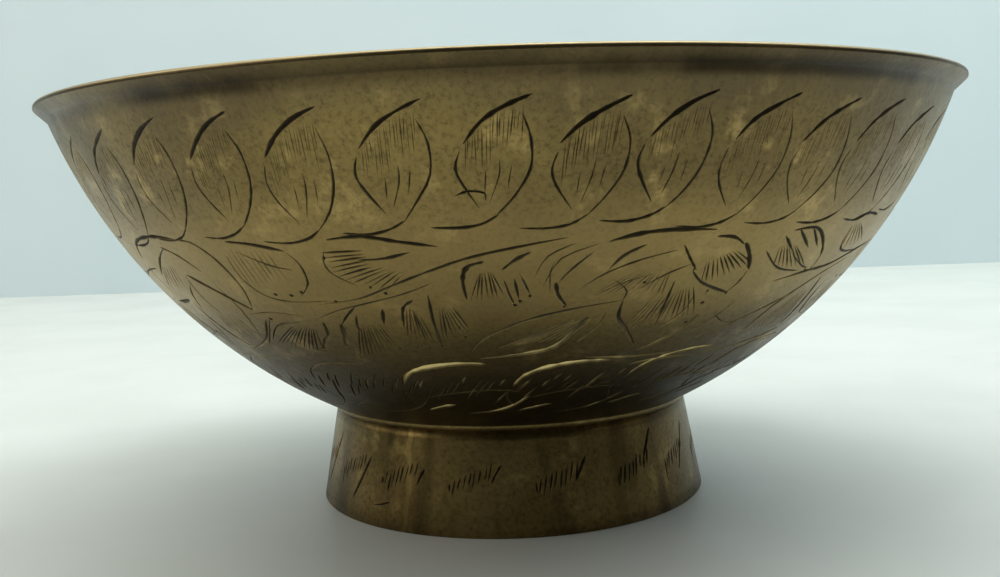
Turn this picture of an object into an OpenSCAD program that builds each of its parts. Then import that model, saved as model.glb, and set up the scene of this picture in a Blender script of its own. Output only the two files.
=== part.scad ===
// Footed brass bowl: a round bowl with a turned-out lip, soldered to a tapered foot ring.
// Every piece is turned about the same upright axis, so each one is a half section, revolved.
// Half sections are drawn as [distance from the axis, height above the table].

/* [Bowl] */
// Diameter over the lip
rim_d = 200; // [160:1:240]
// Height from the table to the rim
bowl_h = 89; // [74:0.5:108]
// Wall thickness
bowl_wall = 1.5; // [0.8:0.1:2.5]
// Radius of the wall's curve, from the foot up to the lip
wall_curve_r = 114; // [92:1:140]

/* [Lip] */
// How far the lip stands out from the wall
lip_out = 2.4; // [1:0.1:5]
// Height of the lip, from its root to the rim
lip_h = 3; // [1.5:0.1:6]
// Thickness of the lip at its outer edge
lip_edge = 1; // [0.5:0.1:1.4]
// Chamfer that breaks the rim's sharp corner
lip_chamfer = 0.2; // [0.05:0.05:0.25]

/* [Foot] */
// Diameter where the foot stands on the table
foot_base_d = 89; // [74:0.5:108]
// Diameter where the foot meets the bowl
foot_top_d = 81; // [66:0.5:98]
// Height at which the foot's outside meets the bowl
foot_h = 21.7; // [17:0.1:27]
// Wall thickness of the foot ring
foot_wall = 1.8; // [1.2:0.1:3]

/* [Solder] */
// Gap between the bowl and the foot's top edge, which the solder fills
solder_gap = 0.15; // [0.05:0.05:0.3]
// How far the solder spreads from the joint, along the bowl and down the foot
solder_leg = 2; // [1.5:0.1:3]

/* [Hidden] */
$fn = 360;

// Centre of the arc of radius r that runs from p to q and bulges to the right of that line
function arc_centre(p, q, r) =
    let (half = norm(q - p) / 2, along = (q - p) / (2 * half))
    (p + q) / 2 + sqrt(r * r - half * half) * [-along.y, along.x];

// Point at a distance past q on the line from p
function past(p, q, distance) = q + (q - p) / norm(q - p) * distance;

rim_r = rim_d / 2;
lip_root = [rim_r - lip_out, bowl_h - lip_h];
lip_corner = [rim_r, bowl_h - lip_edge];
foot_top_r = foot_top_d / 2;
foot_base_r = foot_base_d / 2;
foot_lean = (foot_base_r - foot_top_r) / foot_h; // how far the side moves in for each mm up
bite = 0.4; // how far a drawn face runs on inside its neighbour, so that the two cross cleanly

// The wall's outer arc runs from the seat on the foot up to the root of the lip. Inside the seat the
// floor's arc carries it on without a corner: its centre is where the line from the seat through the
// wall's centre meets the axis. floor_lap makes the two arcs cross instead of only touching.
seat = [foot_top_r, foot_h];
wall_centre = arc_centre(seat, lip_root, wall_curve_r);
seat_line = (seat - wall_centre) / wall_curve_r;
floor_centre = wall_centre - seat_line * wall_centre.x / seat_line.x;
floor_is_tighter = wall_centre.x < 0;
floor_lap = floor_is_tighter ? 0.002 : -0.002;
floor_curve_r = norm(seat - floor_centre) + floor_lap;

// Distance from the axis of a point on the foot's outside, and on its inside
function foot_outer_r(z) = foot_base_r - foot_lean * z;
function foot_inner_r(z) = foot_outer_r(z) - foot_wall;

// Distance of the wall's outer face from the axis at a height
function wall_r(z) = wall_centre.x + sqrt(pow(wall_curve_r, 2) - pow(z - wall_centre.y, 2));

// Height of the bowl's outer face at a radius: the wall beyond the seat, and the floor within it
function wall_z(r) = wall_centre.y - sqrt(pow(wall_curve_r, 2) - pow(r - wall_centre.x, 2));
function floor_z(r) = floor_centre.y - sqrt(pow(floor_curve_r, 2) - r * r);

// Everything inside the bowl's outer face, with that face moved outwards by grow. The circle of the
// tighter arc lies inside the other one, so only the wider arc's circle is cut off at the seat line.
module bowl_outline(grow = 0) {
    reach = 2 * max(wall_curve_r, floor_curve_r);
    line_end = floor_centre + seat_line * reach;
    all_round = [[0, -reach], [reach, -reach], [reach, reach], [0, reach]];
    above_line = [floor_centre, line_end, [reach, line_end.y], [reach, reach], [0, reach]];
    below_line = [floor_centre, [0, line_end.y], line_end];
    intersection() {
        union() {
            intersection() {
                translate(wall_centre) circle(wall_curve_r + grow);
                polygon(floor_is_tighter ? above_line : all_round);
            }
            intersection() {
                translate(floor_centre) circle(floor_curve_r + grow);
                polygon(floor_is_tighter ? all_round : below_line);
            }
        }
        square([reach, bowl_h]);
    }
}

// The wall and floor are what is left between the outer face and the same face moved inwards
module bowl_section() {
    difference() {
        bowl_outline();
        bowl_outline(-bowl_wall);
    }
    polygon([
        past(lip_corner, lip_root, bite),
        lip_corner,
        [rim_r, bowl_h - lip_chamfer],
        [rim_r - lip_chamfer, bowl_h],
        [wall_r(bowl_h) - bowl_wall / 2, bowl_h]
    ]);
}

// The foot's side leans in all the way up, and its top edge is cut to the curve of the bowl
module foot_section() {
    above = foot_h + bowl_wall;
    difference() {
        polygon([
            [foot_inner_r(0), 0],
            [foot_outer_r(0), 0],
            [foot_outer_r(above), above],
            [foot_inner_r(above), above]
        ]);
        bowl_outline(solder_gap);
    }
}

// Solder fills the gap and climbs both faces of the corner, outside the foot and inside it
module solder_section() {
    outer_toe = [foot_outer_r(foot_h - solder_leg), foot_h - solder_leg];
    outer_tip = [foot_top_r + solder_leg, wall_z(foot_top_r + solder_leg)];
    inner_r = foot_top_r - foot_wall;
    inner_z = floor_z(inner_r) - solder_leg;
    inner_toe = [foot_inner_r(inner_z), inner_z];
    inner_tip = [inner_r - solder_leg, floor_z(inner_r - solder_leg)];
    difference() {
        polygon([
            past(outer_tip, outer_toe, bite),
            past(outer_toe, outer_tip, bite),
            past(inner_toe, inner_tip, bite),
            past(inner_tip, inner_toe, bite)
        ]);
        bowl_outline();
        foot_section();
    }
}

module bowl() {
    color("#8c7742") rotate_extrude() bowl_section();
}

module solder_seam() {
    color("#b79c58") rotate_extrude() solder_section();
}

module foot_ring() {
    color("#7d693b") rotate_extrude() foot_section();
}

bowl();
solder_seam();
foot_ring();
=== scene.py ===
# %% [markdown]
# # A chased brass bowl on a foot ring
# This lesson builds an old footed bowl of yellow brass. A round bowl with a turned-out lip stands on
# a tapered ring, and brazing joins the two. Leaves, flowers and fans are chased into its outside:
# a blunt chisel and a small hammer push and cut one short groove after another.
# The CAD model is the fixed frame. It gives the true sizes, and the pieces made here stay inside it.

# %% Load the frame
import math
import random

import bpy
from mathutils import Matrix, Vector


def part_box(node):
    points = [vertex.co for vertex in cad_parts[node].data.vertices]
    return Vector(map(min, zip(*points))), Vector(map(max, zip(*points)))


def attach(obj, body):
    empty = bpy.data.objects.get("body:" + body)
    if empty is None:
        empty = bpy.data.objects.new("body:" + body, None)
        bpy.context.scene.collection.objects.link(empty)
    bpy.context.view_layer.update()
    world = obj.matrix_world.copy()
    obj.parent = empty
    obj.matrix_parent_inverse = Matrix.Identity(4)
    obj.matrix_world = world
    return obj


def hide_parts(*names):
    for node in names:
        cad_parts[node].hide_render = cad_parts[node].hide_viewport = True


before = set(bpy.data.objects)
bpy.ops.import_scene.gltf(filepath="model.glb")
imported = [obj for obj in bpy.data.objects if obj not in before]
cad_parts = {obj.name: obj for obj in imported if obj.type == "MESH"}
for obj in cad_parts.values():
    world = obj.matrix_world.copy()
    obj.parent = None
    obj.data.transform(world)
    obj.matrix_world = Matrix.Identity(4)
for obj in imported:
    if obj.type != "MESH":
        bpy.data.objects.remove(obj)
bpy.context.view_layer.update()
MM = 0.001
print("CAD nodes:", ", ".join(sorted(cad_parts)))

# %% [markdown]
# ## Camera
# The eye is near: about 15 cm from the front of the rim, a little below it, and looks slightly down,
# so the bowl hides its own inside. A near eye with a normal lens gives the strong curve of the foot's
# base line. The camera leans by two degrees, as it does when it is held by hand.

# %% Place the camera
EYE = Vector((1.3, -249.0, 67.8)) * MM
PAN, TILT, ROLL = math.radians(-0.64), math.radians(-4.97), math.radians(-2.1)
LENS_MM, SENSOR_MM = 38.0, 36.0

ahead = Vector((math.sin(PAN) * math.cos(TILT), math.cos(PAN) * math.cos(TILT), math.sin(TILT)))
level_right = ahead.cross(Vector((0, 0, 1))).normalized()
level_up = level_right.cross(ahead)
right = level_right * math.cos(ROLL) + level_up * math.sin(ROLL)
up = level_up * math.cos(ROLL) - level_right * math.sin(ROLL)
camera_data = bpy.data.cameras.new("camera")
camera_data.lens = LENS_MM
camera_data.sensor_width = SENSOR_MM
camera_data.clip_start = 0.01
camera = bpy.data.objects.new("camera", camera_data)
camera.matrix_world = Matrix.Translation(EYE) @ Matrix((right, up, -ahead)).transposed().to_4x4()
bpy.context.scene.collection.objects.link(camera)
bpy.context.scene.camera = camera
print("the eye is", round(EYE.length / MM), "mm from the middle of the foot's base")

# %% [markdown]
# ## Helpers for node trees
# Every tree in this file, for geometry or for a material, is built with the one function `add`. It adds
# a node, sets its options, and gives each input either a value or a wire from another node's output.
# A geometry tree runs as a modifier, and what it makes is taken off as a plain mesh. That way the piece
# stands by itself, and no modifier is left on it.

# %% Node helpers
def add(tree, kind, options=None, inputs=()):
    """Adds one node. Its inputs are given by name or in their order, each with a value or a wire.
    A node that is given as an input stands for the first of its outputs that is in use."""
    made = tree.nodes.new(kind)
    for name, value in (options or {}).items():
        setattr(made, name, value)
    for name, value in inputs.items() if isinstance(inputs, dict) else enumerate(inputs):
        if isinstance(value, bpy.types.Node):
            value = next(socket for socket in value.outputs if socket.enabled)
        if isinstance(value, bpy.types.NodeSocket):
            tree.links.new(value, made.inputs[name])
        else:
            made.inputs[name].default_value = value
    return made


def geometry_tree(name, sockets):
    """A modifier's tree with a geometry input and output, and the named inputs that it takes."""
    tree = bpy.data.node_groups.new(name, "GeometryNodeTree")
    tree.is_modifier = True
    tree.interface.new_socket("Geometry", in_out="OUTPUT", socket_type="NodeSocketGeometry")
    tree.interface.new_socket("Geometry", in_out="INPUT", socket_type="NodeSocketGeometry")
    for label, kind in sockets.items():
        tree.interface.new_socket(label, in_out="INPUT", socket_type="NodeSocket" + kind)
    return tree, tree.nodes.new("NodeGroupInput").outputs


def run_tree(name, mesh, tree, values):
    """Runs a geometry tree on a mesh and returns a plain object with the result."""
    worked = bpy.data.objects.new(name, mesh)
    bpy.context.scene.collection.objects.link(worked)
    modifier = worked.modifiers.new(tree.name, "NODES")
    modifier.node_group = tree
    for item in tree.interface.items_tree:
        if item.in_out == "INPUT" and item.name in values:
            modifier[item.identifier] = values[item.name]
    depsgraph = bpy.context.evaluated_depsgraph_get()
    result = bpy.data.meshes.new_from_object(worked.evaluated_get(depsgraph), depsgraph=depsgraph)
    result.name = name
    worked.modifiers.remove(modifier)
    worked.data = result
    return worked


# %% [markdown]
# ## The outline of the bowl
# A bowl that is raised over stakes and then trued on a lathe has a simple section: one long arc
# from the foot to the lip, and a slightly tighter arc that closes the floor without a corner.
# The sizes that the frame's boxes give are read from them. The rest repeat the design's own values.

# %% Section of the bowl
RIM_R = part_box("bowl")[1].x
BOWL_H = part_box("bowl")[1].z
FOOT_BASE_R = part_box("foot_ring")[1].x
WALL_CURVE_R = 114 * MM
BOWL_WALL = 1.5 * MM
LIP_OUT, LIP_H = 2.4 * MM, 3 * MM
FOOT_TOP_R, FOOT_H, FOOT_WALL = 40.5 * MM, 21.7 * MM, 1.8 * MM

seat = Vector((FOOT_TOP_R, FOOT_H))
lip_root = Vector((RIM_R - LIP_OUT, BOWL_H - LIP_H))
half_chord = (lip_root - seat).length / 2
along_chord = (lip_root - seat).normalized()
across_chord = Vector((-along_chord.y, along_chord.x))
wall_centre = (seat + lip_root) / 2 + across_chord * math.sqrt(WALL_CURVE_R**2 - half_chord**2)
seat_line = (seat - wall_centre) / WALL_CURVE_R
floor_centre = wall_centre - seat_line * (wall_centre.x / seat_line.x)
floor_curve_r = (seat - floor_centre).length


def arc(centre, radius, start, end, steps):
    """Points on an arc from one angle to another, both in degrees from level."""
    angles = [math.radians(start + (end - start) * step / steps) for step in range(steps + 1)]
    return [centre + radius * Vector((math.cos(a), math.sin(a))) for a in angles]


def slope_at(point, centre):
    """Angle of the line from an arc's centre to a point, in degrees from level."""
    return math.degrees(math.atan2(point.y - centre.y, point.x - centre.x))


seat_angle = slope_at(seat, wall_centre)
root_angle = slope_at(lip_root, wall_centre)
inner_rim_angle = math.degrees(math.asin((BOWL_H - wall_centre.y) / (WALL_CURVE_R - BOWL_WALL)))
outside = arc(floor_centre, floor_curve_r, -90, seat_angle, 12)
outside += arc(wall_centre, WALL_CURVE_R, seat_angle, root_angle, 40)[1:]
lip = [lip_root + Vector((0.45, 0.25)) * MM, lip_root + Vector((1.2, 0.95)) * MM]
lip += arc(Vector((RIM_R - 0.15 * MM, BOWL_H - 0.85 * MM)), 0.15 * MM, -52, 0, 3)
lip += arc(Vector((RIM_R - 0.55 * MM, BOWL_H - 0.55 * MM)), 0.55 * MM, 8, 90, 5)
lip_inside = wall_centre + (WALL_CURVE_R - BOWL_WALL) * Vector(
    (math.cos(math.radians(inner_rim_angle)), math.sin(math.radians(inner_rim_angle)))
)
lip += arc(lip_inside + Vector((0.6, -0.6)) * MM, 0.6 * MM, 90, 180, 4)
inside = arc(wall_centre, WALL_CURVE_R - BOWL_WALL, inner_rim_angle - 0.5, seat_angle, 24)
inside += arc(floor_centre, floor_curve_r - BOWL_WALL, seat_angle, -90, 12)[1:]
bowl_outline = outside + lip + inside

# %% [markdown]
# ## Spinning a section
# A turned piece is its half section carried round the axis. In Geometry Nodes, Curve to Mesh does
# that: the section is the profile and a circle is the path. Points of the profile that lie on the
# axis all land in one place, and Merge by Distance joins them, so the pole is closed. Curve to Mesh
# leaves such a shape inside out, and Flip Faces puts that right.

# %% Tree that spins a section
JOIN_WITHIN = 0.001 * MM


def spin_tree():
    tree, given = geometry_tree("Spin a section", {"Section": "Object", "Steps": "Int", "Arm": "Float",
                                                   "Metal": "Material"})
    section = add(tree, "GeometryNodeObjectInfo", {}, {"Object": given["Section"]})
    circle = add(tree, "GeometryNodeCurvePrimitiveCircle", {},
                 {"Resolution": given["Steps"], "Radius": given["Arm"]})
    back = add(tree, "ShaderNodeMath", {"operation": "MULTIPLY"}, {0: given["Arm"], 1: -1.0})
    shift = add(tree, "ShaderNodeCombineXYZ", {}, {"X": back.outputs[0]})
    # The profile's y runs downwards when it is carried round, so the section is turned over first.
    turned = add(tree, "GeometryNodeTransform", {},
                 {"Geometry": section.outputs["Geometry"], "Translation": shift.outputs[0],
                  "Rotation": (math.pi, 0.0, 0.0)})
    spun = add(tree, "GeometryNodeCurveToMesh", {},
               {"Curve": circle.outputs["Curve"], "Profile Curve": turned.outputs["Geometry"]})
    closed = add(tree, "GeometryNodeMergeByDistance", {},
                 {"Geometry": spun.outputs["Mesh"], "Distance": JOIN_WITHIN})
    outwards = add(tree, "GeometryNodeFlipFaces", {}, {"Mesh": closed.outputs["Geometry"]})
    smooth = add(tree, "GeometryNodeSetShadeSmooth", {}, {"Geometry": outwards.outputs["Mesh"]})
    plain = add(tree, "GeometryNodeRealizeInstances", {}, {"Geometry": smooth.outputs["Geometry"]})
    metal = add(tree, "GeometryNodeSetMaterial", {},
                {"Geometry": plain.outputs["Geometry"], "Material": given["Metal"]})
    add(tree, "NodeGroupOutput", {}, {"Geometry": metal.outputs["Geometry"]})
    return tree


def curve_object(name, splines, closed=False):
    """A curve object from lists of (point, radius)."""
    data = bpy.data.curves.new(name, "CURVE")
    data.dimensions = "3D"
    for points in splines:
        spline = data.splines.new("POLY")
        spline.points.add(len(points) - 1)
        spline.use_cyclic_u = closed
        for made, (place, radius) in zip(spline.points, points):
            made.co = (*place, 1.0)
            made.radius = radius
    drawn = bpy.data.objects.new(name, data)
    bpy.context.scene.collection.objects.link(drawn)
    return drawn


spin = spin_tree()


def spun_blank(name, outline, steps, metal, closed=False):
    """A turned piece without decoration. Its outline is a list of (distance from the axis, height)."""
    section = curve_object(name + "_section", [[(point.to_3d(), 1.0) for point in outline]], closed)
    blank = run_tree(name, bpy.data.meshes.new(name), spin,
                     {"Section": section, "Steps": steps, "Arm": RIM_R, "Metal": metal})
    bpy.data.objects.remove(section)
    return blank


print(spin.name + ":", len(spin.nodes), "nodes")

# %% [markdown]
# ## How a stroke is drawn
# A chaser walks the tool along a line with light blows, so a stroke starts thin, swells and runs out.
# Here a stroke is a list of places on the unrolled wall: degrees to the right of the front, and mm
# down along the wall from the lip. A smooth line runs through them, and each point on it carries half
# of the groove's width there. A punch mark is a very short, fat stroke.

# %% Stroke helpers
dice = random.Random(7)


def on_wall(angle, down):
    """A point on the bowl's outside: degrees right of the front, mm down the wall from the lip."""
    slope = math.radians(root_angle) - down * MM / WALL_CURVE_R
    distance = wall_centre.x + WALL_CURVE_R * math.cos(slope)
    turn = math.radians(angle)
    return Vector((distance * math.sin(turn), -distance * math.cos(turn),
                   wall_centre.y + WALL_CURVE_R * math.sin(slope)))


def on_foot(angle, height):
    """A point on the foot's outside: degrees right of the front, mm above the base."""
    distance = FOOT_BASE_R - (FOOT_BASE_R - FOOT_TOP_R) * height * MM / FOOT_H
    turn = math.radians(angle)
    return Vector((distance * math.sin(turn), -distance * math.cos(turn), height * MM))


def smooth_line(places, count):
    """Evenly numbered points on a Catmull-Rom line through the places."""
    ends = [places[0], *places, places[-1]]
    line = []
    for step in range(count):
        along = step / (count - 1) * (len(places) - 1)
        first = min(int(along), len(places) - 2)
        t = along - first
        a, b, c, d = (Vector(place) for place in ends[first:first + 4])
        line.append(0.5 * (2 * b + (c - a) * t + (2 * a - 5 * b + 4 * c - d) * t**2
                           + (3 * b - a - 3 * c + d) * t**3))
    return line


def stroke(places, width, surface=on_wall, blunt=0.25, count=None):
    """One chased groove: its points on the surface, each with half of the groove's width."""
    if count is None:
        count = 4 if len(places) == 2 else (4 if width > 0.6 else 3) * (len(places) - 1) + 1
    line = smooth_line(places, count)
    drawn = []
    for step, place in enumerate(line):
        swell = math.sin(math.pi * step / (count - 1)) ** 0.6
        blow = dice.uniform(0.68, 1.2)
        half = width * MM / 2 * (blunt + (1 - blunt) * swell) * blow
        drawn.append((surface(*place), half))
    return drawn


def dot(place, width=1.0, surface=on_wall):
    """A punch mark."""
    angle, down = place
    return stroke([(angle, down - 0.3), (angle - 0.1, down + 0.35)], width, surface, 0.45, 3)


def shaken(places, angle=0.0, down=0.0, scale=1.0, amount=0.12):
    """The places moved, scaled, and set off a little by an unsteady hand."""
    return [(angle + scale * a + dice.uniform(-amount, amount),
             down + scale * d + dice.uniform(-amount, amount)) for a, d in places]


print("one heavy stroke:", len(stroke([(0, 0), (-2.7, 2), (-5, 5), (-6.7, 9)], 0.8)), "points")

# %% [markdown]
# ## The upper row of leaves
# About forty leaves stand side by side under the lip, and each one hangs on a curved stem that runs to its
# left. The chaser set them out by eye, so the front ones are listed one by one. The 26 behind are even, with
# 27 gaps between the two ends of the front row.
# The left edge is the heaviest cut. Fine lines shade the blade down from it.

# %% Upper leaves
FRONT_LEAVES = (-54, -44.5, -35, -25.5, -16, -6.5, 3, 12, 20.2, 29.5, 38, 46.5, 56)
BACK_GAPS = 27
HATCHES = 17
gap = (360 - (FRONT_LEAVES[-1] - FRONT_LEAVES[0])) / BACK_GAPS
leaf_tips = list(FRONT_LEAVES) + [FRONT_LEAVES[-1] + gap * k for k in range(1, BACK_GAPS)]

LEAF = (
    (((0, 0), (-2.5, 1.8), (-4.7, 4.1), (-6.4, 7.3)), 0.95),
    (((-6.7, 8.5), (-7.2, 11.5), (-6.7, 14.5), (-5.2, 18.5)), 0.62),
    (((-0.7, 3), (0.1, 7), (-0.1, 12), (-1.5, 16.5), (-3.4, 20)), 0.66),
    (((-3.3, 19.8), (-5, 21.4), (-7.5, 22.1), (-10.5, 21.8)), 0.68),
    (((-3, 10), (-3.2, 13), (-4.1, 17.5)), 0.4),
    (((-1.9, 11), (-2.3, 15)), 0.34),
    (((-4.4, 12), (-4.6, 16)), 0.34),
)
upper_strokes = []
for tip in leaf_tips:
    tip_down = 4.3 + dice.uniform(-0.5, 0.5)
    size = dice.uniform(0.96, 1.06)
    for places, width in LEAF:
        upper_strokes.append(stroke(shaken(places, tip, tip_down, size), width * dice.uniform(0.85, 1.1)))
    for k in range(HATCHES):
        across = -6.1 + 0.34 * k
        top = 1.8 + 0.19 * (across + 1) ** 2 + dice.uniform(-0.3, 0.8)
        hatch = ((across, top), (across - 0.25, top + dice.uniform(3.5, 8.0)))
        upper_strokes.append(stroke(shaken(hatch, tip, tip_down, size), dice.uniform(0.17, 0.27)))
upper_strokes.append(stroke([(-4.3, 19.6), (-3, 18.9), (-1.5, 19.3), (-1.4, 20.6)], 0.6))
print("upper row:", len(leaf_tips), "leaves,", len(upper_strokes), "strokes")

# %% [markdown]
# ## The flower band
# The band below is drawn freely: a big open flower, a lily, fans like small shells that hang from a
# winding stem, and shaded leaves. It is drawn once here, a third of the way round, and comes three
# times. The strokes are listed one by one, because no rule would give such free drawing.
# `fan` draws the close lines of a fan from its root outwards. The first flower, at the left, is a lily.

# %% Lily
def fan(root, first, last, count, start=0.25, width=0.3):
    """Close lines that leave a root and end evenly between two places."""
    lines = []
    for k in range(count):
        t = k / (count - 1)
        end = (first[0] + (last[0] - first[0]) * t, first[1] + (last[1] - first[1]) * t)
        near = (root[0] + (end[0] - root[0]) * start, root[1] + (end[1] - root[1]) * start)
        lines.append(((near, end), width))
    return lines


LILY = [
    (((-57, 31), (-55, 28), (-52, 26.3), (-47, 25.8), (-42, 26.3)), 0.8),
    (((-42, 26.4), (-39, 27), (-36.8, 30), (-35.6, 34), (-35.3, 38), (-36, 42)), 0.65),
    (((-45.5, 34.5), (-41, 38.5), (-36.5, 42.7)), 1.0),
    (((-47, 28), (-44, 30), (-41, 33.5)), 0.5),
    (((-46, 28), (-50, 31), (-54, 35)), 0.55),
    (((-57.5, 33), (-58, 36), (-57, 40)), 0.6),
    (((-46, 35), (-46.5, 40), (-45, 45)), 0.55),
    (((-51.5, 42), (-51, 47), (-49, 51), (-47, 54)), 0.95),
    (((-47, 55.5), (-43, 54), (-39, 51), (-35.5, 45.5)), 0.7),
    (((-40, 53), (-37, 49), (-34.5, 45)), 0.45),
    (((-40.5, 36), (-39, 43), (-40, 50)), 0.45),
    (((-46.8, 37), (-49, 40), (-50.5, 44)), 0.45),
    (((-58, 42.5), (-55, 42.3), (-52, 41.5)), 0.9),
    (((-61, 59.5), (-55, 58.5), (-49, 58)), 0.7),
    (((-58, 48), (-56, 51), (-55, 56)), 0.7),
    (((-53, 46), (-52.3, 50), (-54, 55)), 0.45),
    *fan((-46, 34), (-47.5, 53), (-40, 51), 8, 0.6),
    *fan((-47, 28), (-56, 39), (-49, 38), 6, 0.45),
]
print("lily:", len(LILY), "strokes")

# %% [markdown]
# ### Shaded leaf, shell and stems
# Beside the lily lies a leaf that is shaded with upright lines, and then a shell of lines that close in
# on one point. Long, thin strokes wind through the band, and most of the rest hangs from them.

# %% Shaded leaf, shell and stems
SHADED_LEAF = [
    (((-33, 27), (-29, 27.5), (-25, 29)), 0.85),
    (((-25, 29.2), (-23.7, 32), (-24, 36), (-26, 39)), 0.55),
    (((-34, 30), (-34, 35), (-32, 39), (-28, 40.5), (-22, 40)), 0.5),
    (((-32, 29), (-28, 32), (-25, 33)), 0.35),
    *[(((-33.6 + 0.75 * k, 28.6), (-33.2 + 0.8 * k, 37.5 - 0.3 * k)), 0.3) for k in range(9)],
]
SHELL_FAN = [
    (((-19, 27), (-15, 26.5), (-11, 27.5), (-7, 28.8)), 0.9),
    (((-16, 31), (-13, 30.9), (-10, 29.8)), 0.65),
    (((-19.8, 29), (-20.6, 31.5), (-20, 34), (-17.5, 36.5)), 0.45),
    *fan((-7, 29), (-20.3, 29.4), (-19.6, 34.6), 6, 0.62, 0.45),
    *fan((-8, 30), (-18.9, 35.5), (-14.3, 38.2), 6, 0.5, 0.42),
]
STEMS = [
    (((-24, 41), (-18, 39.5), (-13, 36.5), (-8, 33.5), (-3, 31), (3, 29), (7, 28)), 0.55),
    (((-26, 45), (-22, 42.5), (-17, 40.5), (-12, 38.5), (-8, 36)), 0.5),
    (((-38, 44), (-33, 43.3), (-28, 44)), 0.4),
    (((-35, 47.5), (-30, 46), (-27, 45)), 0.4),
    (((38, 40.5), (44, 39), (50, 38), (55, 36), (60, 34.3), (66, 33.5)), 0.75),
    (((30, 54), (38, 49), (44, 45), (50, 40), (56, 37)), 0.6),
    (((20, 60.5), (26, 59.5), (32, 59.7)), 0.75),
    (((32, 60), (40, 59), (46, 57.5), (53, 55.5)), 0.65),
    (((50, 59.3), (56, 59), (62, 60)), 0.65),
]
print("leaf, shell and stems:", len(SHADED_LEAF + SHELL_FAN + STEMS), "strokes")

# %% [markdown]
# ### The hanging fans
# Five narrow fans hang under the stem like the fingers of a glove. Each one is a heavy side stroke and
# a few light lines that spread from the stem.

# %% Hanging fans
HANGING_FANS = [
    (((-25.2, 45.5), (-25.6, 49), (-27, 51), (-28.5, 53.5)), 0.9),
    *fan((-26, 43), (-37.5, 52.5), (-29, 54), 11, 0.4, 0.4),
    (((-30, 45.5), (-34, 47), (-37.5, 51)), 0.4),
    (((-22.5, 46), (-23, 49), (-24, 52.5)), 1.0),
    (((-19, 41.5), (-21, 44), (-22.3, 46)), 0.6),
    (((-15.5, 42), (-16.2, 46)), 0.7),
    *fan((-18, 41), (-22.6, 55), (-15.6, 53), 10, 0.4, 0.42),
    (((-19.3, 43.5), (-20.2, 46.5), (-20, 48)), 0.5),
    (((-11, 40), (-12.6, 42), (-13.4, 46.5)), 0.85),
    *fan((-11.5, 38), (-13.4, 49), (-10, 51), 7, 0.35, 0.4),
    (((-9, 39), (-9.3, 45), (-9, 52)), 0.75),
    *fan((-7.8, 38), (-8.6, 50), (-4.6, 48), 7, 0.35, 0.42),
    (((-2, 32), (-4, 33), (-4.6, 36), (-4.5, 40)), 0.9),
    *fan((-2, 31), (-4, 40.5), (0, 40), 7, 0.35, 0.4),
    (((0, 36), (0.6, 39), (1.2, 41.5)), 0.6),
    (((1.3, 36), (1.9, 40.8)), 0.55),
    (((2, 35), (3, 39.5)), 0.55),
    (((3, 30.5), (1.5, 32), (0, 34)), 0.85),
    (((8, 29), (5, 31.5), (3.6, 36)), 0.36),
    (((10.5, 29.5), (6.5, 32), (4.6, 38)), 0.36),
    (((6, 32), (5.3, 35), (5.6, 39.5)), 0.34),
]
print("hanging fans:", len(HANGING_FANS), "strokes")

# %% [markdown]
# ### The open flower
# The big flower is the centre of the band. Its petals are outlined with heavy, broken strokes and filled
# with lines that run to the heart of the flower.

# %% Open flower
FLOWER = [
    (((11.5, 29), (15, 27.8), (19, 27.2), (24, 27.7)), 0.95),
    (((10, 31), (8, 34), (6.5, 37)), 0.6),
    (((6, 37), (6.5, 40), (7.5, 42.5)), 0.95),
    (((12, 35), (13.5, 32), (16, 30)), 0.65),
    (((20.5, 30.5), (22, 33.5), (23.5, 36)), 0.7),
    (((23, 36), (25, 39), (28, 41), (30, 42)), 0.9),
    (((24.5, 29), (27, 29.5), (29, 31)), 0.6),
    (((29, 30.8), (30.6, 33.5), (31.7, 37)), 0.85),
    (((31.6, 37), (31.2, 40), (30, 42)), 0.65),
    (((21, 38), (21, 43), (21, 49)), 0.65),
    (((15, 42), (15, 46), (16.5, 49), (19, 54)), 0.8),
    (((20, 56), (23, 54), (26, 50.5), (27.5, 47)), 0.9),
    (((-5, 54), (-3, 50), (2, 46), (8, 43.5), (15, 42)), 0.7),
    (((-4, 56), (2, 55), (7, 53), (10, 47), (11, 45.5)), 0.9),
    (((3, 50), (6, 48.3), (9, 46)), 0.6),
    (((13, 37), (15, 40), (14.5, 43)), 0.5),
    (((9, 39), (12, 35.5), (16, 33), (20, 31.5)), 0.42),
    (((10.5, 41), (14, 38), (18, 36)), 0.4),
    (((16, 40), (19.5, 36.5), (22.5, 34.5)), 0.42),
    (((17.5, 48), (20, 45), (21, 42)), 0.4),
    (((22, 50), (24.5, 46), (25, 42)), 0.45),
    (((10, 52), (12.5, 48), (13.2, 44.5)), 0.5),
    *fan((20, 31), (10, 41), (20, 42), 12, 0.4, 0.32),
    *fan((22, 34), (16, 50), (26.5, 47), 13, 0.45, 0.4),
    *fan((24, 29), (25, 39.5), (31.8, 35.5), 10, 0.5, 0.42),
    *fan((14, 42), (-1, 53), (8, 51), 9, 0.45, 0.45),
    (((12, 57), (20, 58), (28, 57.5)), 0.6),
    (((28, 52), (31, 48), (33, 44)), 0.5),
    (((30, 47), (33, 50), (37, 50.5)), 0.45),
]
print("open flower:", len(FLOWER), "strokes")

# %% [markdown]
# ### The leaves at the right
# Four fans of fine lines, each with heavier strokes beside it, close the third of the band.

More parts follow.
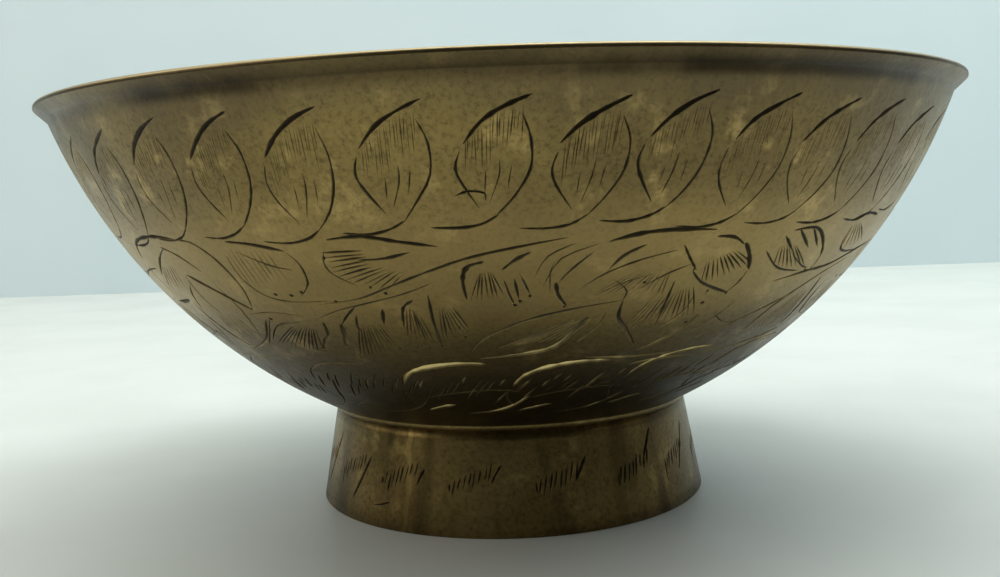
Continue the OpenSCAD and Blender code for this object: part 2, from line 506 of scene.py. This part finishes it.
# %% Leaves at the right
RIGHT_LEAVES = [
    (((36, 29), (40, 28.5), (43, 31), (45.3, 35), (45.3, 38)), 0.65),
    (((33, 33), (37, 37), (42, 38.5)), 0.55),
    (((35, 30), (38, 33.4)), 0.6),
    (((37, 28.5), (41, 33)), 0.65),
    (((39.3, 28.3), (43, 33)), 0.65),
    (((38, 34), (42, 37.2), (44, 38)), 0.45),
    *fan((34, 28), (36, 37), (43, 37.5), 8, 0.45, 0.36),
    (((48.5, 27.5), (52, 26.5), (56, 27)), 0.75),
    (((49, 29), (49.5, 33), (52, 35), (57, 35)), 0.65),
    *fan((49, 26.5), (50, 34.5), (57, 33), 6, 0.3, 0.4),
    (((46, 44), (43, 47), (41, 51), (40, 54)), 0.75),
    (((51, 41), (52, 46), (52.5, 51), (52, 54.5)), 1.0),
    (((47, 58), (50, 56.5), (53, 55.5)), 0.85),
    *fan((50, 40), (42, 54), (51, 55), 9, 0.3, 0.38),
    (((54.5, 42), (54.5, 47), (57, 52), (62, 53)), 0.8),
    *fan((60, 40), (56, 51), (64, 52), 7, 0.3, 0.38),
    (((60, 53), (64, 51), (67, 52)), 0.6),
]
print("leaves at the right:", len(RIGHT_LEAVES), "strokes")

# %% [markdown]
# ### Punch marks, and the band three times
# The chaser ended many heavy strokes with one blow of a round punch. Every copy of the band gets its own
# small errors of place and weight, because a hand never cuts the same flower twice.

# %% The whole flower band
PUNCHES = (
    (-30, 38.7), (-27.5, 38.7), (-25.6, 38), (-20.2, 30.4), (-15.8, 37), (-14.2, 38.4), (-21.3, 40.2),
    (-34.2, 45), (-28.6, 53.6), (-24, 52.8), (-22.6, 55.3), (-15.3, 52.4), (-12, 51.7), (-10.8, 51.7),
    (-9, 51.8), (-6.1, 47), (-5.4, 49.4), (-3.9, 33.4), (1.3, 41.7), (2, 41), (3.1, 39.8), (7.5, 42.6),
    (17, 38), (23.3, 35.8), (26.8, 41), (30.2, 42), (30.6, 34.2), (31.5, 36), (27, 44), (26, 49),
    (59.3, 42), (-36.6, 42.6), (-48.5, 52), (-47, 54), (-58, 42.5), (44, 38.6), (45.4, 38.2),
)
BAND = LILY + SHADED_LEAF + SHELL_FAN + STEMS + HANGING_FANS + FLOWER + RIGHT_LEAVES
band_strokes = []
for third in (0, 120, 240):
    for places, width in BAND:
        band_strokes.append(stroke(shaken(places, third), width * dice.uniform(1.0, 1.25)))
    for place in PUNCHES:
        band_strokes.append(dot(shaken([place], third)[0], dice.uniform(0.85, 1.1)))
print("flower band:", len(band_strokes), "strokes")

# %% [markdown]
# ## The lower leaves
# Eighteen long leaves lie on their sides near the foot, where the wall turns under. Each has an arched
# top, a broken lower edge, and slanting lines inside. The outlines of the two at the left are only
# scratched, as if the tool had been lifted there.

# %% Lower leaves
LOWER_LEAF = (
    (((0, 8), (2, 4), (6, 1.4), (11, 0.4), (15.5, 0.6)), 1.35),
    (((1, 19.5), (5, 17.5), (8, 16.5)), 1.2),
    (((10, 21), (16, 19.8), (20.5, 16.5), (23, 12.5)), 1.1),
    (((-0.6, 9.5), (-1.2, 13), (0.2, 17.5)), 0.55),
    (((3, 13), (9, 11), (16, 10), (21, 11)), 0.5),
)
LOWER_LEAVES = 18
FAINT_LEAVES = (16, 17)
FAINT = 0.4
VEINS = 15
lower_strokes = []
for k in range(LOWER_LEAVES):
    weight = FAINT if k in FAINT_LEAVES else 1.0
    left = -19 + 360 / LOWER_LEAVES * k + dice.uniform(-0.6, 0.6)
    height = 57.7 + dice.uniform(-0.7, 0.7)
    for places, width in LOWER_LEAF:
        heavy = width * weight
        lower_strokes.append(stroke(shaken(places, left, height), heavy * dice.uniform(0.85, 1.1)))
    for line in range(VEINS):
        across = 2.2 + 1.25 * line + dice.uniform(-0.5, 0.5)
        top = dice.uniform(3.5, 9.5)
        fall = dice.uniform(2.5, 7.0)
        vein = ((across, top), (across - 0.5 * fall, top + fall))
        lower_strokes.append(stroke(shaken(vein, left, height), dice.uniform(0.35, 0.75)))
print("lower leaves:", len(lower_strokes), "strokes")

# %% [markdown]
# ## The marks on the foot
# Round the foot run groups of short upright cuts. Each group rises to the right and ends in one long
# slanting cut. The cuts of each group came from one straight-edged chisel.

# %% Foot marks
FRONT_GROUPS = ((-64, 17, 12), (-45, 14, 9.5), (-25, 13, 3), (-3, 14.3, 3.5), (21, 15, 4.5), (45, 18, 6),
                (64.5, 17, 9.5))
BACK_SPACES = 11
CUTS = 8
gap = (360 - (FRONT_GROUPS[-1][0] - FRONT_GROUPS[0][0])) / BACK_SPACES
foot_groups = list(FRONT_GROUPS)
for k in range(1, BACK_SPACES):
    foot_groups.append((FRONT_GROUPS[-1][0] + gap * k, dice.uniform(14, 18), dice.uniform(4, 10)))
foot_strokes = []
for end, top, length in foot_groups:
    last = ((end, top), (end - 0.35 * length, top - 0.48 * length), (end - 0.74 * length, top - length))
    foot_strokes.append(stroke(shaken(last), 0.8, on_foot, 0.4))
    first = ((end - 14.4, 10.6), (end - 14.3, 10.6 - 0.45 * length))
    foot_strokes.append(stroke(shaken(first), 0.6, on_foot, 0.4))
    for k in range(CUTS):
        high = 11.6 + 0.4 * k + dice.uniform(-0.4, 0.4)
        place = end - 12.8 + 1.5 * k + dice.uniform(-0.2, 0.2)
        fall = dice.uniform(2.4, 4.4)
        cut = ((place, high), (place - 0.28 * fall, high - fall))
        foot_strokes.append(stroke(shaken(cut), dice.uniform(0.45, 0.65), on_foot, 0.4))
foot_strokes.append(stroke([(-42, 4.4), (-39, 4.8), (-36, 5.6)], 0.5, on_foot))
print("foot marks:", len(foot_groups), "groups,", len(foot_strokes), "strokes")

# %% [markdown]
# ## Cutting the strokes
# One tree does all the cutting. It turns every stroke so that it faces out of the surface, carries a
# triangle along it, and takes the result away from the blank. The triangle is as wide as the stroke
# and nearly as deep as half that width, like the mark of a worn chisel. Where two cuts almost meet, the
# cutting leaves slivers far thinner than a hair. Merge by Distance closes them, because a mesh with such
# slivers can come apart when it is split into triangles.
# Two values stay on the cut piece. `depth` is how far a point lies under the old surface, in mm, which the
# material uses for dirt and for a painted highlight in the low grooves. The smooth normals of the blank are
# kept for the uncut surface, so that it stays perfectly round beside the grooves, and the groove walls keep
# their own flat normals.

# %% Tree that chases a surface
GROOVE_DEPTH = 0.9
TRIANGLE_WIDTH = 1.732
SLIVER = 0.0005 * MM
CUT_FROM_MM = 0.004
CRISP_ANGLE = math.radians(24)


def chase_tree():
    tree, given = geometry_tree("Chase strokes", {"Strokes": "Object", "Depth": "Float",
                                                  "Metal": "Material"})
    blank = given["Geometry"]
    drawn = add(tree, "GeometryNodeObjectInfo", {}, {"Object": given["Strokes"]})
    normal = add(tree, "GeometryNodeInputNormal")
    kept = add(tree, "GeometryNodeCaptureAttribute", {"domain": "POINT"}, {"Geometry": blank})
    kept.capture_items.new("VECTOR", "Smooth normal")
    tree.links.new(normal.outputs["Normal"], kept.inputs["Smooth normal"])
    out_of = add(tree, "GeometryNodeSampleNearestSurface", {"data_type": "FLOAT_VECTOR"},
                 {"Mesh": kept.outputs["Geometry"], "Value": kept.outputs["Smooth normal"]})
    faced = add(tree, "GeometryNodeSetCurveNormal", {"mode": "FREE"},
                {"Curve": drawn.outputs["Geometry"], "Normal": out_of.outputs["Value"]})
    number = add(tree, "GeometryNodeInputIndex")
    apart = add(tree, "GeometryNodeSplitToInstances", {"domain": "CURVE"},
                {"Geometry": faced.outputs["Curve"], "Group ID": number.outputs["Index"]})
    triangle = add(tree, "GeometryNodeMeshCircle", {}, {"Vertices": 3, "Radius": 1.0})
    wire = add(tree, "GeometryNodeMeshToCurve", {}, {"Mesh": triangle.outputs["Mesh"]})
    size = add(tree, "ShaderNodeCombineXYZ", {}, {"X": given["Depth"], "Y": TRIANGLE_WIDTH, "Z": 1.0})
    tool = add(tree, "GeometryNodeTransform", {},
               {"Geometry": wire.outputs["Curve"], "Rotation": (0.0, 0.0, math.pi),
                "Scale": size.outputs[0]})
    width = add(tree, "GeometryNodeInputRadius")
    cutters = add(tree, "GeometryNodeCurveToMesh", {},
                  {"Curve": apart.outputs["Instances"], "Profile Curve": tool.outputs["Geometry"],
                   "Scale": width.outputs["Radius"], "Fill Caps": True})
    cut = add(tree, "GeometryNodeMeshBoolean", {"operation": "DIFFERENCE", "solver": "MANIFOLD"},
              {"Mesh 1": blank, "Mesh 2": cutters.outputs["Mesh"]})
    joined = add(tree, "GeometryNodeMergeByDistance", {},
                 {"Geometry": cut.outputs["Mesh"], "Distance": SLIVER})
    near = add(tree, "GeometryNodeProximity", {"target_element": "FACES"}, {0: blank})
    in_mm = add(tree, "ShaderNodeMath", {"operation": "MULTIPLY"}, {0: near.outputs["Distance"], 1: 1 / MM})
    deep = add(tree, "GeometryNodeStoreNamedAttribute", {"data_type": "FLOAT", "domain": "POINT"},
               {"Geometry": joined.outputs["Geometry"], "Name": "depth", "Value": in_mm.outputs[0]})
    middle = add(tree, "GeometryNodeFieldOnDomain", {"data_type": "FLOAT", "domain": "FACE"},
                 {"Value": in_mm.outputs[0]})
    is_groove = add(tree, "FunctionNodeCompare", {"data_type": "FLOAT", "operation": "GREATER_THAN"},
                    {"A": middle.outputs["Value"], "B": CUT_FROM_MM})
    bend = add(tree, "GeometryNodeInputMeshEdgeAngle")
    crisp = add(tree, "FunctionNodeCompare", {"data_type": "FLOAT", "operation": "GREATER_THAN"},
                {"A": bend.outputs["Unsigned Angle"], "B": CRISP_ANGLE})
    edged = add(tree, "GeometryNodeSetShadeSmooth", {"domain": "EDGE"},
                {"Geometry": deep.outputs["Geometry"], "Selection": crisp.outputs["Result"],
                 "Shade Smooth": False})
    own = add(tree, "GeometryNodeInputNormal")
    chosen = add(tree, "GeometryNodeSwitch", {"input_type": "VECTOR"},
                 {"Switch": is_groove.outputs["Result"], "False": out_of.outputs["Value"],
                  "True": own.outputs["Normal"]})
    shaded = add(tree, "GeometryNodeSetMeshNormal", {"mode": "FREE", "domain": "CORNER"},
                 {"Mesh": edged.outputs["Geometry"], "Custom Normal": chosen.outputs["Output"]})
    plain = add(tree, "GeometryNodeRealizeInstances", {}, {"Geometry": shaded.outputs["Mesh"]})
    metal = add(tree, "GeometryNodeSetMaterial", {},
                {"Geometry": plain.outputs["Geometry"], "Material": given["Metal"]})
    add(tree, "NodeGroupOutput", {}, {"Geometry": metal.outputs["Geometry"]})
    return tree


chase = chase_tree()
print(chase.name + ":", len(chase.nodes), "nodes")

# %% [markdown]
# ## Colours
# Colours are written the way a paint chart gives them, and this turns them into the linear values that
# the shaders work with.

# %% Colour helper
def linear(code, alpha=1.0):
    """A colour such as "#8c7a48" as linear light."""
    parts = [int(code[at:at + 2], 16) / 255 for at in (1, 3, 5)]
    return (*[part / 12.92 if part <= 0.04045 else ((part + 0.055) / 1.055) ** 2.4 for part in parts], alpha)


# %% [markdown]
# ## Aged brass
# The metal is sheet brass that was hammered, trued on a lathe, chased, and then handled for decades
# without polish. Its yellow shows where hands and cloths rub it. Elsewhere a thin brown tarnish lies on
# it in clouds, and the grooves hold nearly black dirt. To the eye that gives a soft, broad sheen in
# place of clear reflections, and lines that read dark at every angle.
# Four noises make this. Their sizes are those of the real thing: stains of a few cm, rubbed spots of a
# few mm, a grain just under one mm, and pits of a few tenths of a mm. The pits are drawn a little
# coarser than real ones, or they would not show.

# %% Brass material
SMOOTH = {"interpolation_type": "SMOOTHSTEP"}
COLOURS = {"data_type": "RGBA"}
TIMES, PLUS, MINUS = ({"operation": name} for name in ("MULTIPLY", "ADD", "SUBTRACT"))
STAIN_MM, SPOT_MM, GRAIN_MM, PIT_MM = 38, 7, 0.9, 0.35
DULL_ROUGH, RUBBED_ROUGH, GRAIN_ROUGH = 0.40, 0.33, 0.08
GRAIN_SHARE = 0.6
RELIEF_MM = 0.09


def brass_material(name, bright, worn, dull, dirt, finish=None):
    """Brass under tarnish. `finish` adds what only one piece has, and gives back its colour,
    roughness and how metallic it is. `coat` holds what a finish can work with."""
    made = bpy.data.materials.new(name)
    made.use_nodes = True
    tree = made.node_tree
    tree.nodes.clear()
    place = add(tree, "ShaderNodeTexCoord").outputs["Object"]
    coat = {"place": place, "dirt": linear(dirt), "bright": linear(bright),
            "axes": add(tree, "ShaderNodeSeparateXYZ", {}, (place,)).outputs}
    for label, size, detail, harshness in (("stains", STAIN_MM, 4.0, 0.6), ("spots", SPOT_MM, 4.0, 0.6),
                                           ("grain", GRAIN_MM, 5.0, 0.7), ("pits", PIT_MM, 2.0, 0.5)):
        coat[label] = add(tree, "ShaderNodeTexNoise", {"noise_dimensions": "3D"},
                          {"Vector": place, "Scale": 1 / (size * MM), "Detail": detail,
                           "Roughness": harshness})
    clouded = add(tree, "ShaderNodeMapRange", SMOOTH, (coat["stains"], 0.35, 0.65, 0.0, 1.0))
    colour = add(tree, "ShaderNodeMix", COLOURS, {0: clouded, 6: linear(worn), 7: linear(dull)})
    rubbed = add(tree, "ShaderNodeMapRange", SMOOTH, (coat["spots"], 0.55, 0.72, 0.0, 0.6))
    colour = add(tree, "ShaderNodeMix", COLOURS, {0: rubbed, 6: colour, 7: coat["bright"]})
    specks = add(tree, "ShaderNodeMapRange", SMOOTH, (coat["grain"], 0.42, 0.74, 0.0, 0.5))
    colour = add(tree, "ShaderNodeMix", COLOURS, {0: specks, 6: colour, 7: coat["dirt"]})
    sheen = add(tree, "ShaderNodeMapRange", SMOOTH, (coat["spots"], 0.3, 0.7, DULL_ROUGH, RUBBED_ROUGH))
    dulled = add(tree, "ShaderNodeMapRange", SMOOTH, (coat["grain"], 0.4, 0.8, 0.0, GRAIN_ROUGH))
    rough = add(tree, "ShaderNodeMath", PLUS, (sheen, dulled))
    metallic = 1.0
    if finish:
        colour, rough, metallic = finish(tree, coat, colour, rough)
    coarse = add(tree, "ShaderNodeMath", TIMES, (coat["grain"], GRAIN_SHARE))
    fine = add(tree, "ShaderNodeMath", TIMES, (coat["pits"], 1 - GRAIN_SHARE))
    relief = add(tree, "ShaderNodeMath", PLUS, (coarse, fine))
    bump = add(tree, "ShaderNodeBump", {},
               {"Strength": 0.8, "Distance": RELIEF_MM * MM, "Height": relief})
    shader = add(tree, "ShaderNodeBsdfPrincipled", {},
                 {"Base Color": colour, "Metallic": metallic, "Roughness": rough, "Normal": bump})
    add(tree, "ShaderNodeOutputMaterial", {}, {"Surface": shader})
    return made


print("brass: stains of", STAIN_MM, "mm, spots of", SPOT_MM, "mm, grain of", GRAIN_MM, "mm")

# %% [markdown]
# ### What lies in the grooves
# Dirt fills a groove from the bottom, so the colour follows the depth that the chase tree left. Low on the
# bowl the grooves hold less dirt, and their deeper parts are painted pale gold: a painted highlight for the
# light that their walls catch.

# %% Groove dirt
FULL_DIRT_MM = 0.16
GROOVE_HIGHLIGHT_MM = (0.1, 0.4)
CLEAN_AND_HIGHLIT_MM = 12


def groove_dirt(tree, coat, colour, rough, clean_and_highlit_below):
    """Dirt in the grooves, with less of it below a height, where the deeper grooves get a painted highlight
    of pale gold.
    """
    height = coat["axes"]["Z"]
    top = clean_and_highlit_below + CLEAN_AND_HIGHLIT_MM * MM
    depth = add(tree, "ShaderNodeAttribute", {"attribute_name": "depth"}).outputs["Fac"]
    kept = add(tree, "ShaderNodeMapRange", SMOOTH, (height, clean_and_highlit_below, top, 0.2, 1.0))
    deep = add(tree, "ShaderNodeMapRange", SMOOTH, (depth, 0.0, FULL_DIRT_MM, 0.0, 1.0))
    filled = add(tree, "ShaderNodeMath", TIMES, (deep, kept))
    amount = add(tree, "ShaderNodeMath", TIMES, (filled, 0.88))
    colour = add(tree, "ShaderNodeMix", COLOURS, {0: amount, 6: colour, 7: coat["dirt"]})
    more = add(tree, "ShaderNodeMath", TIMES, (filled, 0.12))
    rough = add(tree, "ShaderNodeMath", PLUS, (rough, more))
    less = add(tree, "ShaderNodeMath", TIMES, (filled, 0.45))
    metallic = add(tree, "ShaderNodeMath", MINUS, (1.0, less))
    # Painted highlight: below this height the deeper grooves are painted pale gold, for the light that their
    # walls catch.
    washed = add(tree, "ShaderNodeMapRange", SMOOTH, (height, clean_and_highlit_below, top, 0.95, 0.0))
    deep_highlight = add(tree, "ShaderNodeMapRange", SMOOTH, (depth, *GROOVE_HIGHLIGHT_MM, 0.0, 1.0))
    groove_highlight = add(tree, "ShaderNodeMath", TIMES, (deep_highlight, washed))
    colour = add(tree, "ShaderNodeMix", COLOURS, {0: groove_highlight, 6: colour, 7: linear("#e6cf90")})
    return colour, rough, metallic


print("grooves are full of dirt from", FULL_DIRT_MM, "mm deep")

# %% [markdown]
# ### The finish of the bowl
# The belly is painted lighter, a painted sheen for the lit table that it mirrors. Near the foot the metal is
# painted nearly black, a painted shade for the shadow under the bowl, and under the lip the brown goes grey.
# Painted shade darkens the corner under the lip and the lip's outer face. The very edge of the lip is
# painted pale, a painted highlight along the rim.

# %% Bowl finish
BOWL_CLEAN_AND_HIGHLIT_BELOW = 36 * MM
BELLY_SHEEN_BOTTOM, BELLY_SHEEN_TOP = (0.042, 0.052), (0.058, 0.072)
FOOT_SHADE_ENDS, GREY_STARTS = (0.034, 0.052), (0.082, 0.092)
LIP_SHADE_BOTTOM, LIP_SHADE_TOP = (0.0836, 0.0856), (0.0862, 0.0880)
RIM_HIGHLIGHT_HEIGHTS = (0.0884, 0.0888)
FOOT_SHADE_SWAY, GREY_SWAY = 0.008, 0.012


def bowl_finish(tree, coat, colour, rough):
    height, stains = coat["axes"]["Z"], coat["stains"]
    # Painted sheen: the belly is painted lighter, standing in for the lit table that it mirrors.
    sheen_rise = add(tree, "ShaderNodeMapRange", SMOOTH, (height, *BELLY_SHEEN_BOTTOM, 0.0, 0.45))
    below = add(tree, "ShaderNodeMapRange", SMOOTH, (height, *BELLY_SHEEN_TOP, 1.0, 0.0))
    belly_sheen = add(tree, "ShaderNodeMath", TIMES, (sheen_rise, below))
    colour = add(tree, "ShaderNodeMix", COLOURS, {0: belly_sheen, 6: colour, 7: coat["bright"]})
    # The first pass is painted shade: the wall near the foot is painted nearly black, in clouds, for the
    # shadow under the bowl. The second turns the brown grey under the lip.
    for sway, (start, end), first, last, tint in (
            (FOOT_SHADE_SWAY, FOOT_SHADE_ENDS, 0.76, 0.0, "#2a2215"),
            (GREY_SWAY, GREY_STARTS, 0.0, 0.6, "#5d523f")):
        shift = add(tree, "ShaderNodeMath", TIMES, (stains, sway))
        uneven = add(tree, "ShaderNodeMath", PLUS, (height, shift))
        cover = add(tree, "ShaderNodeMapRange", SMOOTH, (uneven, start, end, first, last))
        colour = add(tree, "ShaderNodeMix", COLOURS, {0: cover, 6: colour, 7: linear(tint)})
    # Painted shade under the lip: a band below the lip and up its outer face is darkened with the dirt
    # colour, patchy with the stains.
    over = add(tree, "ShaderNodeMapRange", SMOOTH, (height, *LIP_SHADE_BOTTOM, 0.0, 1.0))
    under = add(tree, "ShaderNodeMapRange", SMOOTH, (height, *LIP_SHADE_TOP, 1.0, 0.45))
    lip_shade = add(tree, "ShaderNodeMath", TIMES, (over, under))
    patchy = add(tree, "ShaderNodeMapRange", SMOOTH, (stains, 0.38, 0.6, 0.35, 0.85))
    lip_shade = add(tree, "ShaderNodeMath", TIMES, (lip_shade, patchy))
    colour = add(tree, "ShaderNodeMix", COLOURS, {0: lip_shade, 6: colour, 7: coat["dirt"]})
    # Painted highlight: the very edge of the lip is painted pale, for the thin line of light along the rim.
    edge = add(tree, "ShaderNodeMapRange", SMOOTH, (height, *RIM_HIGHLIGHT_HEIGHTS, 0.0, 0.6))
    colour = add(tree, "ShaderNodeMix", COLOURS, {0: edge, 6: colour, 7: linear("#c8b98f")})
    return groove_dirt(tree, coat, colour, rough, BOWL_CLEAN_AND_HIGHLIT_BELOW)


print("bowl finish: the grooves are washed clean below", round(BOWL_CLEAN_AND_HIGHLIT_BELOW / MM), "mm")

# %% [markdown]
# ### The finish of the foot and the joint
# The foot is painted with dark upright bars, a painted reflection of the room that the turned ring mirrors.
# One narrow golden streak crosses it from top to base.
# The spelter of the joint itself has no marks, so it gets no finish of its own.

# %% Foot and joint finish
STREAK_AT = math.radians(-30)
STREAK_WIDTH = (0.006, 0.022)
STREAK_WAVE = 0.10
REFLECTION_BAR_MM = 9
REFLECTION_BAR_SQUEEZE = 0.12
FOOT_CLEAN_AND_HIGHLIT_BELOW = -20 * MM


def foot_finish(tree, coat, colour, rough):
    # A narrow golden streak at one angle round the foot, wavering a little, from top to base.
    front = add(tree, "ShaderNodeMath", TIMES, (coat["axes"]["Y"], -1.0))
    turn = add(tree, "ShaderNodeMath", {"operation": "ARCTAN2"}, (coat["axes"]["X"], front))
    centred = add(tree, "ShaderNodeMath", MINUS, (coat["spots"], 0.5))
    wave = add(tree, "ShaderNodeMath", TIMES, (centred, STREAK_WAVE))
    waved = add(tree, "ShaderNodeMath", PLUS, (turn, wave))
    away = add(tree, "ShaderNodeMath", MINUS, (waved, STREAK_AT))
    away = add(tree, "ShaderNodeMath", {"operation": "ABSOLUTE"}, (away,))
    streak = add(tree, "ShaderNodeMapRange", SMOOTH, (away, *STREAK_WIDTH, 0.4, 0.0))
    colour = add(tree, "ShaderNodeMix", COLOURS, {0: streak, 6: colour, 7: linear("#b89f62")})
    # Painted reflection: dark upright bars, standing in for the room that the turned foot mirrors.
    tall = add(tree, "ShaderNodeVectorMath", TIMES, (coat["place"], (1.0, 1.0, REFLECTION_BAR_SQUEEZE)))
    reflection_bars = add(tree, "ShaderNodeTexNoise", {"noise_dimensions": "3D"},
               {"Vector": tall, "Scale": 1 / (REFLECTION_BAR_MM * MM), "Detail": 2.0, "Roughness": 0.5})
    painted_reflection = add(tree, "ShaderNodeMapRange", SMOOTH, (reflection_bars, 0.48, 0.66, 0.0, 0.6))
    colour = add(tree, "ShaderNodeMix", COLOURS, {0: painted_reflection, 6: colour, 7: linear("#33291a")})
    return groove_dirt(tree, coat, colour, rough, FOOT_CLEAN_AND_HIGHLIT_BELOW)


bowl_metal = brass_material("Chased brass, browned by age", "#b59c66", "#897649", "#6f5f3d", "#1d160c",
                            bowl_finish)
foot_metal = brass_material("Turned brass foot, browned by age", "#a08a55", "#857146", "#665633", "#1b150c",
                            foot_finish)
solder_metal = brass_material("Brazing spelter, wiped and worn", "#a89260", "#8c784a", "#71603c", "#2a2010")
print("materials:", bowl_metal.name + ";", foot_metal.name + ";", solder_metal.name)

# %% [markdown]
# ## The bowl
# The bowl is its blank with all the strokes cut. The cutting is real, not a bump: the grooves are in the
# mesh, so they catch the light from the side, and the outline shows them at the edges.

# %% Chased bowl
def chased_piece(name, blank, strokes, metal):
    lines = curve_object(name + "_strokes", strokes)
    piece = run_tree(name, blank.data, chase, {"Strokes": lines, "Depth": GROOVE_DEPTH, "Metal": metal})
    bpy.data.objects.remove(lines)
    bpy.data.objects.remove(blank)
    piece.data.calc_loop_triangles()
    print(name, "has", len(strokes), "strokes and", len(piece.data.loop_triangles), "triangles")
    return piece


BOWL_STEPS, FOOT_STEPS = 240, 180
bowl_blank = spun_blank("bowl_blank", bowl_outline, BOWL_STEPS, bowl_metal)
bowl = chased_piece("chased_bowl", bowl_blank, upper_strokes + band_strokes + lower_strokes, bowl_metal)

# %% [markdown]
# ### The foot ring and the brazed joint
# The foot is a tapered ring of brass, probably turned. Its cuts are made with the same tree as the
# bowl's.
# The joint is a narrow bead in the corner between bowl and foot. It bulges a little, as brazing does
# when it is not filed back, so it catches light from the table. Its section is given point by point,
# and the same spin tree carries it round.

# %% Foot and joint
lean = (FOOT_BASE_R - FOOT_TOP_R) / FOOT_H
foot_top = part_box("foot_ring")[1].z
edge = 0.3 * MM
FOOT_ROWS = 8
foot_outline = [Vector((FOOT_BASE_R - FOOT_WALL + edge, 0)), Vector((FOOT_BASE_R - edge, 0))]
for step in range(FOOT_ROWS + 1):
    height = edge + (foot_top - edge) * step / FOOT_ROWS
    foot_outline.append(Vector((FOOT_BASE_R - lean * height, height)))
foot_outline.append(Vector((FOOT_BASE_R - lean * foot_top - FOOT_WALL, foot_top)))
foot_outline.append(Vector((FOOT_BASE_R - lean * edge - FOOT_WALL, edge)))
foot_blank = spun_blank("foot_blank", foot_outline, FOOT_STEPS, foot_metal, True)
foot = chased_piece("foot_ring_visual", foot_blank, foot_strokes, foot_metal)

bead = [Vector(place) * MM for place in (
    (40.2, 20.9), (40.63, 20.95), (40.92, 21.08), (41.18, 21.3), (41.38, 21.58), (41.55, 22.16),
    (41.3, 22.5), (40.3, 22.3), (37.2, 21.3), (36.8, 20.1), (37.7, 19.9), (38.5, 19.5), (39.1, 18.95),
    (39.6, 19.3))]
joint = spun_blank("brazed_joint", bead, FOOT_STEPS, solder_metal, True)
print("brazed joint:", len(joint.data.polygons), "faces")

# %% [markdown]
# ### Places in the frame
# Each finished piece takes the place of one CAD part and moves with the one rigid body.

# %% Join the pieces to the frame
for piece, node, slot in ((bowl, "bowl", "bowl_brass"), (foot, "foot_ring", "foot_brass"),
                          (joint, "solder_seam", "solder_brass")):
    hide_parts(node)
    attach(piece, "root")
    print(piece.name, "takes the place of", node, "with", [metal.name for metal in piece.data.materials])

# %% [markdown]
# ## The table and the light
# The bowl stands on a pale, matt table with a pale blue wall close behind. The light comes from above
# and from behind, soft and wide, and the side of the room behind the eye is dim. That is why the metal
# looks brown in front: it mirrors the dim side, and its lower part mirrors its own shadow.

# %% Table and wall
def plain_material(name, colour, tint, size_mm, amount, roughness):
    made = bpy.data.materials.new(name)
    made.use_nodes = True
    tree = made.node_tree
    tree.nodes.clear()
    place = add(tree, "ShaderNodeTexCoord").outputs["Object"]
    clouds = add(tree, "ShaderNodeTexNoise", {"noise_dimensions": "3D"},
                 {"Vector": place, "Scale": 1 / (size_mm * MM), "Detail": 3.0})
    mottle = add(tree, "ShaderNodeMapRange", SMOOTH, (clouds, 0.35, 0.7, 0.0, amount))
    mixed = add(tree, "ShaderNodeMix", COLOURS, {0: mottle, 6: linear(colour), 7: linear(tint)})
    shader = add(tree, "ShaderNodeBsdfPrincipled", {}, {"Base Color": mixed, "Roughness": roughness})
    add(tree, "ShaderNodeOutputMaterial", {}, {"Surface": shader})
    return made


def sheet(name, corners, material):
    data = bpy.data.meshes.new(name)
    data.from_pydata([tuple(lip_shade) for lip_shade in corners], [], [(0, 1, 2, 3)])
    data.materials.append(material)
    made = bpy.data.objects.new(name, data)
    bpy.context.scene.collection.objects.link(made)
    return made


WALL_Y = 0.61
table = sheet("table", ((-2, -1.2, 0), (2, -1.2, 0), (2, WALL_Y, 0), (-2, WALL_Y, 0)),
              plain_material("Pale laminated table top", "#dae1de", "#ced5d1", 60, 0.5, 0.5))
wall = sheet("wall", ((-2, WALL_Y, 0), (2, WALL_Y, 0), (2, WALL_Y, 1.6), (-2, WALL_Y, 1.6)),
             plain_material("Pale blue painted wall", "#dcecf1", "#d2e4ea", 200, 0.5, 0.7))
print("stage:", table.name, "and", wall.name)

# %% [markdown]
# ### The light
# Four wide, soft lamps stand in for a bright room: one large one overhead, one that only washes the
# wall, and a fill from each side, of which the left one is the stronger.

# %% Lamps and dim room
def soft_light(name, place, aim, size, power, colour):
    data = bpy.data.lights.new(name, "AREA")
    data.shape = "RECTANGLE"
    data.size, data.size_y = size
    data.energy = power
    data.color = linear(colour)[:3]
    made = bpy.data.objects.new(name, data)
    direction = Vector(aim) - Vector(place)
    made.matrix_world = Matrix.Translation(place) @ direction.to_track_quat("-Z", "Y").to_matrix().to_4x4()
    bpy.context.scene.collection.objects.link(made)
    return made


soft_light("ceiling", (0.0, 0.1, 1.25), (0.0, 0.1, 0.0), (2.0, 1.2), 18.0, "#fffcf4")
soft_light("wall_wash", (0.7, 0.15, 0.9), (0.6, WALL_Y, 0.12), (1.4, 0.3), 4.2, "#f4fbff")
soft_light("left_fill", (-0.8, -0.15, 0.5), (-0.15, -0.1, 0.0), (0.8, 0.4), 2.6, "#fff8ec")
soft_light("right_fill", (0.8, -0.15, 0.5), (0.15, -0.1, 0.0), (0.8, 0.4), 0.5, "#fff8ec")

world = bpy.data.worlds.new("dim room")
bpy.context.scene.world = world
world.use_nodes = True
world.node_tree.nodes["Background"].inputs["Color"].default_value = linear("#8a8f90")
world.node_tree.nodes["Background"].inputs["Strength"].default_value = 0.12
bpy.context.scene.view_settings.view_transform = "Standard"
print("stage and lights are ready")
